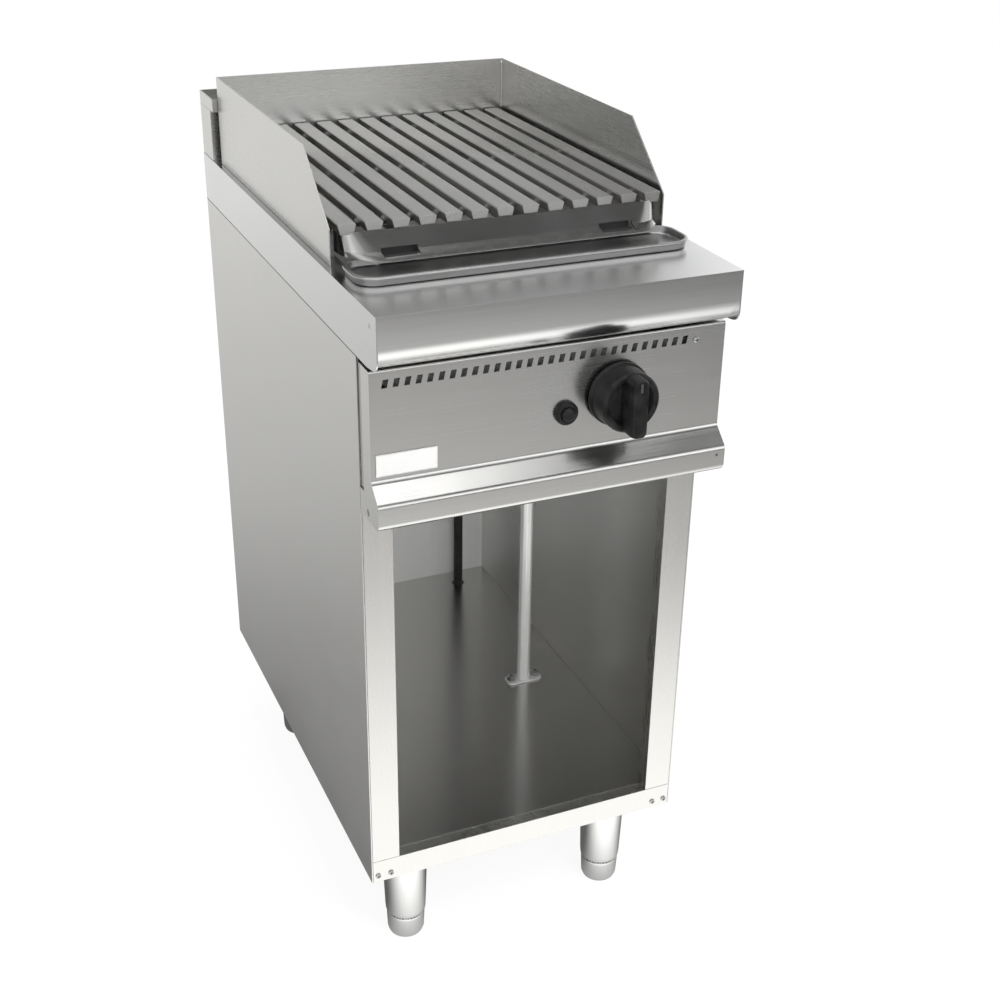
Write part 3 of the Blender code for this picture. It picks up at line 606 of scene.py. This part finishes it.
def angle_outline(corner, flange, web, sheet):
    """Outline of a folded angle: a flange along the first axis and a web along the second."""
    (a, b), (web_sheet, flange_sheet) = corner, sheet
    return [(a, b), (a + flange, b), (a + flange, b + flange_sheet), (a + web_sheet, b + flange_sheet),
            (a + web_sheet, b + web), (a, b + web)]


def cross_outline(span, arm, centre):
    """Outline of a cross with four equal arms."""
    a, b = span / 2, arm / 2
    quarter = [(a, -b), (a, b), (b, b)]
    points = []
    for _ in range(4):
        points += quarter
        quarter = [(-v, u) for u, v in quarter]
    return [(centre[0] + u, centre[1] + v) for u, v in points]


def add_screw_recess_shades(materials):
    """Dark crosses on the heads of the visible screws: painted shade standing in for their cross recesses."""
    for name in MATERIAL_OF["screw"]:
        low, high = box_corners(name)
        middle = (low + high) / 2
        shaped = bmesh.new()
        if name.startswith("drain"):
            outline = cross_outline(*DRAIN_RECESS, (middle.x, middle.y))
            extruded(shaped, outline, "Z", high.z + PROUD, high.z - DEEP_RECESS)
        elif name.startswith("cheek"):
            span = RECESS_SPAN * min(high.z - low.z, high.y - low.y)
            outline = cross_outline(span, RECESS_ARM * span, (middle.y, middle.z))
            face, out = (low.x, -1) if name.endswith("left") else (high.x, 1)
            extruded(shaped, outline, "X", face + out * PROUD, face - out * DEEP_RECESS)
        else:
            span = RECESS_SPAN * min(high.z - low.z, high.x - low.x)
            outline = cross_outline(span, RECESS_ARM * span, (middle.x, middle.z))
            extruded(shaped, outline, "Y", low.y - PROUD, low.y + SHALLOW_RECESS)
        add_piece(f"{name}_recess", shaped, materials["recess"], "cabinet")


def add_slot_shade_pockets(materials):
    """Dark folded pockets behind the hand slots of the grate's apron: painted shade that keeps the slots
    black.
    """
    low = box_corners("grate_apron")[0]
    wall, floor = POCKET_SHEET
    corner = (low.y + POCKET_REAR, low.z + POCKET_LIFT)
    profile = angle_outline(corner, POCKET_FRONT - POCKET_REAR, POCKET_HEIGHT, (-wall, floor))
    for name, side in SIDES:
        shaped = bmesh.new()
        extruded(shaped, profile, "X", side * POCKET_X[0], side * POCKET_X[1])
        add_piece(f"slot_shade_pocket_{name}", shaped, materials["shade"], "grate")


def add_cheek_jambs(materials):
    """Folded strips that close the step between the panel's cheeks and the side sheets. Their sheet is toned
    darker, a painted shade of the step.
    """
    panel_low, panel_high = box_corners("control_panel")
    bottom, top = panel_low.z + JAMB_ABOVE_PANEL_FOOT, panel_high.z - JAMB_BELOW_PANEL_TOP
    front = box_corners("pillar_left")[0].y - JAMB_GAP - JAMB_DEPTH
    for name, side in SIDES:
        flange = side * (JAMB_FOLD_X - JAMB_X)
        outline = angle_outline((side * JAMB_X, front), flange, JAMB_DEPTH, (-side * JAMB_SHEET, JAMB_SHEET))
        shaped = bmesh.new()
        extruded(shaped, outline, "Z", bottom, top)
        add_piece(f"cheek_jamb_{name}", shaped, materials["jamb"], "cabinet")


def add_vent_baffle(materials):
    """Dull plate a little way behind the row of vents."""
    panel_top = box_corners("control_panel")[1].z
    bottom, top = (panel_top - below for below in BAFFLE_BELOW_PANEL_TOP)
    corner = (box_corners("label_plate")[1].y + BAFFLE_BEHIND_LABEL, bottom)
    shaped = bmesh.new()
    profile = angle_outline(corner, BAFFLE_FOLD, top - bottom, (BAFFLE_SHEET, BAFFLE_SHEET))
    extruded(shaped, profile, "X", -BAFFLE_HALF_X, BAFFLE_HALF_X)
    add_piece("vent_baffle", shaped, materials["baffle"], "cabinet")


def add_index_mark(materials):
    """Worn ridge on the upper part of the knob's grip."""
    low, high = box_corners("knob_grip")
    middle = (low.x + high.x) / 2
    shaped = bmesh.new()
    outline = rectangle((middle - MARK_HALF_WIDTH, middle + MARK_HALF_WIDTH),
                        [high.z - below for below in MARK_BELOW_TOP])
    extruded(shaped, outline, "Y", low.y - PROUD, low.y + MARK_DEPTH)
    add_piece("knob_index_mark", shaped, materials["mark"], "knob")


def add_plugs(materials):
    """Flush plugs in the worktop's cheeks, and a small hole plug on the bumper."""
    low, high = box_corners("worktop")
    for name, side in SIDES:
        centre = (side * (high.x + PROUD), low.y + PLUG_BEHIND_LIP, low.z + PLUG_ABOVE_FOOT)
        shaped = bmesh.new()
        rounded_disc(shaped, centre, (-side, 0, 0), PLUG_RADIUS, PLUG_DEPTH)
        add_piece(f"worktop_plug_{name}", shaped, materials["screw"], "cabinet")
    centre = (BUMPER_PLUG_X, box_corners("control_panel")[0].y - PROUD, BUMPER_PLUG_Z)
    shaped = bmesh.new()
    rounded_disc(shaped, centre, (0, 1, 0), BUMPER_PLUG_RADIUS, PLUG_DEPTH)
    add_piece("bumper_plug", shaped, materials["recess"], "cabinet")


def add_label_rim(materials):
    """Thin raised border around the blank plate."""
    low, high = box_corners("label_plate")
    inner_low, inner_high = low.z + LABEL_BAND, high.z - LABEL_BAND
    strips = [((low.x, high.x), (inner_high, high.z)),
              ((low.x, high.x), (low.z, inner_low)),
              ((low.x, low.x + LABEL_BAND), (inner_low, inner_high)),
              ((high.x - LABEL_BAND, high.x), (inner_low, inner_high))]
    shaped = bmesh.new()
    for across, up in strips:
        extruded(shaped, rectangle(across, up), "Y", low.y - LABEL_BAND_PROUD, low.y)
    add_piece("label_rim", shaped, materials["rim"], "cabinet")


def add_weld_beads(materials):
    """Rippled beads up the inner rear corners of the splash guard."""
    low, high = box_corners("splash_guard")
    turns = [math.tau * k / BEAD_SIDES for k in range(BEAD_SIDES)]
    for name, side in SIDES:
        x, y = side * BEAD_X, high.y - BEAD_BEFORE_REAR
        shaped = bmesh.new()
        rings = []
        for i in range(BEAD_RIPPLES + 1):
            radius = BEAD_RADIUS * (1 + BEAD_SWELL * (i % 2)) if 0 < i < BEAD_RIPPLES else BEAD_END_RADIUS
            z = low.z + BEAD_INSET + (high.z - low.z - 2 * BEAD_INSET) * i / BEAD_RIPPLES
            rings.append([shaped.verts.new((x + radius * math.cos(turn), y + radius * math.sin(turn), z))
                          for turn in turns])
        for lower, upper in zip(rings, rings[1:]):
            for k in range(BEAD_SIDES):
                following = (k + 1) % BEAD_SIDES
                shaped.faces.new((lower[k], lower[following], upper[following], upper[k]))
        shaped.faces.new(rings[0])
        shaped.faces.new(rings[-1])
        add_piece(f"guard_weld_{name}", shaped, materials["guard"], "guard")


def add_worktop_seam_shades(materials):
    """Dark strips along the joints between the worktop's skirt and the side sheets: painted shade of the gap
    there.
    """
    skirt, edge = box_corners("worktop")[0].z, box_corners("worktop")[1].x
    low, high = box_corners("side_panel_left")
    for name, side in SIDES:
        shaped = bmesh.new()
        outline = rectangle((low.y, high.y), (skirt - SEAM_BELOW, skirt + SEAM_ABOVE))
        extruded(shaped, outline, "X", side * (edge + PROUD), side * (edge - SEAM_DEPTH))
        add_piece(f"worktop_seam_shade_{name}", shaped, materials["shade"], "cabinet")


def add_lock_rings(materials):
    """Knurled lock ring on each foot's stem, just under the leg's sleeve."""
    sleeve = box_corners("leg_fl")[0].z
    bottom, top = (sleeve - below for below in RING_BELOW_SLEEVE)
    for spot in FEET:
        low, high = box_corners(f"foot_{spot}")
        middle = (low + high) / 2
        outline = []
        for k in range(2 * RING_TEETH):
            turn = k * math.pi / RING_TEETH
            radius = RING_RADII[k % 2]
            outline.append((middle.x + radius * math.cos(turn), middle.y + radius * math.sin(turn)))
        shaped = bmesh.new()
        extruded(shaped, outline, "Z", bottom, top)
        add_piece(f"lock_ring_{spot}", shaped, materials["leg"], f"foot_{spot}")


def add_rear_fixings(materials):
    """Screws around the back sheet and a blank rating plate."""
    rear = box_corners("back_panel")[1].y
    places = [(x, z) for x in BACK_SCREW_XS for z in BACK_SCREW_ZS]
    places += [(0, BACK_SCREW_ZS[0]), (0, BACK_SCREW_ZS[-1])]
    for index, (x, z) in enumerate(places):
        shaped = bmesh.new()
        rounded_disc(shaped, (x, rear + BACK_SCREW_PROUD, z), (0, -1, 0), BACK_SCREW_RADIUS, BACK_SCREW_DEPTH)
        add_piece(f"back_screw_{index}", shaped, materials["screw"], "cabinet", BACK_SCREW_EASE)
    shaped = bmesh.new()
    extruded(shaped, rectangle(RATING_X, RATING_Z), "Y", rear, rear + RATING_SHEET)
    add_piece("rating_plate", shaped, materials["plate"], "cabinet", RATING_EASE)


def add_details(materials):
    add_screw_recess_shades(materials)
    add_slot_shade_pockets(materials)
    add_cheek_jambs(materials)
    add_vent_baffle(materials)
    add_index_mark(materials)
    add_plugs(materials)
    add_label_rim(materials)
    add_weld_beads(materials)
    add_worktop_seam_shades(materials)
    add_lock_rings(materials)
    add_rear_fixings(materials)


# ---------------------------------------------------------------- stage

FLOOR_HALF = 15
MIRRORED_FLOOR_Z = -0.002
OBJECT_HALF = (0.2, 0.34)
FLOOR_GLOW = 1.0
PALE = (0.89, 0.89, 0.89)
PALER = (0.91, 0.91, 0.91)
BOUNCE = (0.14, 0.14, 0.14, 1)
WARM_WHITE = (1, 0.995, 0.98, 1)
BLACK = (0, 0, 0, 1)
WHITE = (1.0, 1.0, 1.0)

# Mirrored floor: each pair is a range of metres, and the glow it goes from and to
SHADED_FLOOR = ((0.0, 0.9), (0.32, 0.62))
CONTACT_SHADE = ((0.0, 0.12), (0.4, 1.0))
FAR_FLOOR = ((0.7, 3.2), (0.0, 0.34))
LIT_FLOOR = ((0.15, 1.0), (1.6, 0.72))
LIT_FLOOR_FADE = ((1.1, 2.6), (0.0, -0.32))
RIGHT_FLOOR_FADE = ((0.2, 1.4), (0.0, -0.18))
FRONT_TO_BEHIND = ((-0.38, -0.14), (1.0, 0.0))

# World: each pair is a range of one component of the direction, and the level it goes from and to
HORIZON = ((0.24, 0.33), (1.0, 0.25))
RIGHT_WALL_TURN = 0.577
RIGHT_WALL_EDGE = ((-0.02, 0.05), (0.0, 0.75))
RIGHT_WALL_START = ((-0.1, 0.1), (0.0, 1.0))
RIGHT_WALL_TOP = ((0.4, 0.6), (1.0, 0.0))
SOFTBOX_FOOT = ((0.77, 0.86), (0.0, 2.3))
SOFTBOX_LIFT = ((-0.1, 0.15), (0.0, 0.11))
SOFTBOX_SLANT = 0.42
SOFTBOX_RIGHT_EDGE = ((0.03, -0.03), (0.0, 1.0))
SOFTBOX_ZENITH = ((0.93, 0.975), (1.0, 0.22))
FRONT_WALL_START = ((-0.2, -0.5), (0.0, 1.0))
FRONT_WALL_HEIGHT = ((0.42, 0.56), (0.75, 0.1))
FRONT_WALL_TOP = ((0.66, 0.8), (1.0, 0.0))
FLAG_EDGE = ((0.1, 0.35), (0.0, -0.22))
FLAG_FOOT = ((0.4, 0.55), (0.0, 1.0))


def add_stage_plane(name, z, material):
    """A large floor plane that isn't part of the object."""
    mesh = bpy.data.meshes.new(name)
    shaped = bmesh.new()
    bmesh.ops.create_grid(shaped, size=FLOOR_HALF, x_segments=1, y_segments=1)
    shaped.to_mesh(mesh)
    shaped.free()
    mesh.materials.append(material)
    obj = bpy.data.objects.new(name, mesh)
    obj.location.z = z
    bpy.context.scene.collection.objects.link(obj)
    return obj


def pale_floor_material():
    """Near-white floor that the camera sees, bright enough to keep shadows faint."""
    material, tree, shader = new_material("pale_floor")
    mottle = noise(tree, object_coordinates(tree), scale=3.0, detail=4.0)
    tree.links.new(mixed(tree, mottle, PALE, PALER), shader.inputs["Emission Color"])
    shader.inputs["Emission Strength"].default_value = FLOOR_GLOW
    shader.inputs["Base Color"].default_value = BOUNCE
    shader.inputs["Roughness"].default_value = 0.9
    shader.inputs["Specular IOR Level"].default_value = 0.0
    return material


def distance_beyond(tree, x, y):
    """How far a floor point is from the object's footprint."""
    squares = []
    for value, half in zip((x, y), OBJECT_HALF):
        beyond = mathed(tree, "SUBTRACT", mathed(tree, "ABSOLUTE", value), half)
        squares.append(mathed(tree, "POWER", mathed(tree, "MAXIMUM", beyond, 0), 2))
    return mathed(tree, "SQRT", added(tree, *squares))


def mirrored_floor_material():
    """What the metal sees of the floor: bright in front, and in the object's own soft shade behind it."""
    material, tree, shader = new_material("mirrored_floor")
    x, y = split_axes(tree, object_coordinates(tree))[:2]
    away = distance_beyond(tree, x, y)

    shaded = ranged(tree, away, *SHADED_FLOOR, smooth=True)
    contact = ranged(tree, away, *CONTACT_SHADE, smooth=True)
    far = ranged(tree, away, *FAR_FLOOR)
    behind = added(tree, multiplied(tree, shaded, contact), far)

    lit = ranged(tree, away, *LIT_FLOOR, smooth=True)
    fading = ranged(tree, away, *LIT_FLOOR_FADE)
    rightwards = ranged(tree, x, *RIGHT_FLOOR_FADE)
    front = added(tree, lit, fading, rightwards)

    in_front = ranged(tree, y, *FRONT_TO_BEHIND, smooth=True)
    glow = mixed(tree, in_front, behind, front, kind="FLOAT")
    tree.links.new(glow, shader.inputs["Emission Strength"])
    shader.inputs["Emission Color"].default_value = WARM_WHITE
    shader.inputs["Base Color"].default_value = BLACK
    shader.inputs["Specular IOR Level"].default_value = 0.0
    return material


def make_floors():
    """One floor for the camera, and one just under it for reflections and bounced light."""
    seen = add_stage_plane("pale_floor", 0, pale_floor_material())
    seen.visible_diffuse = False
    seen.visible_glossy = False
    mirrored = add_stage_plane("mirrored_floor", MIRRORED_FLOOR_Z, mirrored_floor_material())
    mirrored.visible_camera = False
    mirrored.visible_shadow = False


def right_wall(tree, x, y, z):
    """A pale wall to the right of the set and behind it."""
    rightwards = mathed(tree, "SUBTRACT", x, multiplied(tree, y, RIGHT_WALL_TURN))
    turned = ranged(tree, rightwards, *RIGHT_WALL_EDGE, smooth=True)
    behind = ranged(tree, y, *RIGHT_WALL_START, smooth=True)
    low = ranged(tree, z, *RIGHT_WALL_TOP, smooth=True)
    return multiplied(tree, turned, behind, low)


def softbox(tree, x, y, z):
    """A softbox overhead and to the left, dimmer right at the top."""
    lift = ranged(tree, y, *SOFTBOX_LIFT, smooth=True)
    high = ranged(tree, mathed(tree, "SUBTRACT", z, lift), *SOFTBOX_FOOT, smooth=True)
    shift = mathed(tree, "SUBTRACT", x, multiplied(tree, z, SOFTBOX_SLANT))
    leftwards = ranged(tree, shift, *SOFTBOX_RIGHT_EDGE, smooth=True)
    top = ranged(tree, z, *SOFTBOX_ZENITH, smooth=True)
    return multiplied(tree, high, leftwards, top)


def front_wall(tree, x, y, z):
    """The wall on the camera's side, cut off above and darker on the right."""
    front = ranged(tree, y, *FRONT_WALL_START, smooth=True)
    low = ranged(tree, z, *FRONT_WALL_HEIGHT, smooth=True)
    cut = ranged(tree, z, *FRONT_WALL_TOP, smooth=True)
    right = ranged(tree, x, *FLAG_EDGE, smooth=True)
    raised = ranged(tree, z, *FLAG_FOOT, smooth=True)
    return added(tree, multiplied(tree, front, low, cut), multiplied(tree, front, right, raised))


def make_world():
    """Soft studio: a bright horizon, dim walls around the set, and a softbox overhead."""
    world = bpy.data.worlds.new("studio")
    bpy.context.scene.world = world
    world.use_nodes = True
    tree = world.node_tree
    axes = split_axes(tree, add_node(tree, "ShaderNodeTexCoord").outputs["Generated"])
    horizon = ranged(tree, axes[2], *HORIZON, smooth=True)
    level = added(tree, horizon, front_wall(tree, *axes), right_wall(tree, *axes), softbox(tree, *axes))
    seen = add_node(tree, "ShaderNodeLightPath").outputs["Is Camera Ray"]
    tree.links.new(mixed(tree, seen, level, WHITE), tree.nodes["Background"].inputs["Color"])


# name: (place, target, size, power)
LIGHTS = {
    "key": ((0.5, -1.9, 2.2), (0.0, -0.1, 0.6), (1.2, 1.0), 28),
    "overhead": ((0.1, 0.0, 2.4), (0.0, 0.0, 0.9), (0.9, 0.9), 25),
    "cabinet_fill": ((-0.3, -1.4, 0.45), (0.05, 0.35, 0.42), (0.5, 0.4), 0.45),
}
FILL_SPREAD = 40


def make_lights():
    """Soft area lights, which the metal doesn't mirror."""
    for name, (place, target, size, power) in LIGHTS.items():
        light = bpy.data.lights.new(name, "AREA")
        light.shape = "RECTANGLE"
        light.size, light.size_y = size
        light.energy = power
        obj = bpy.data.objects.new(name, light)
        obj.location = place
        obj.rotation_euler = (Vector(target) - Vector(place)).to_track_quat("-Z", "Y").to_euler()
        obj.visible_glossy = False
        bpy.context.scene.collection.objects.link(obj)
    bpy.data.lights["cabinet_fill"].spread = math.radians(FILL_SPREAD)


def make_camera():
    data = bpy.data.cameras.new("camera")
    data.lens = CAMERA_LENS
    data.sensor_width = CAMERA_SENSOR
    camera = bpy.data.objects.new("camera", data)
    yaw, down, roll = (math.radians(a) for a in (CAMERA_YAW, CAMERA_DOWN, CAMERA_ROLL))
    forward = Vector((math.sin(yaw) * math.cos(down), math.cos(yaw) * math.cos(down), -math.sin(down)))
    level = Vector((math.cos(yaw), -math.sin(yaw), 0))
    right = math.cos(roll) * level + math.sin(roll) * level.cross(forward)
    up = right.cross(forward)
    turn = Matrix((right, up, -forward)).transposed().to_4x4()
    camera.matrix_world = Matrix.Translation(CAMERA_PLACE) @ turn
    bpy.context.scene.collection.objects.link(camera)
    bpy.context.scene.camera = camera


make_camera()
materials = make_materials()
dress_nodes(materials)
# Painted shade in the gaps between the grate's bars
add_gap_shade(materials["bars"], "grate")
ease_edges()
add_details(materials)
make_floors()
make_world()
make_lights()
bpy.context.scene.view_settings.view_transform = "Standard"
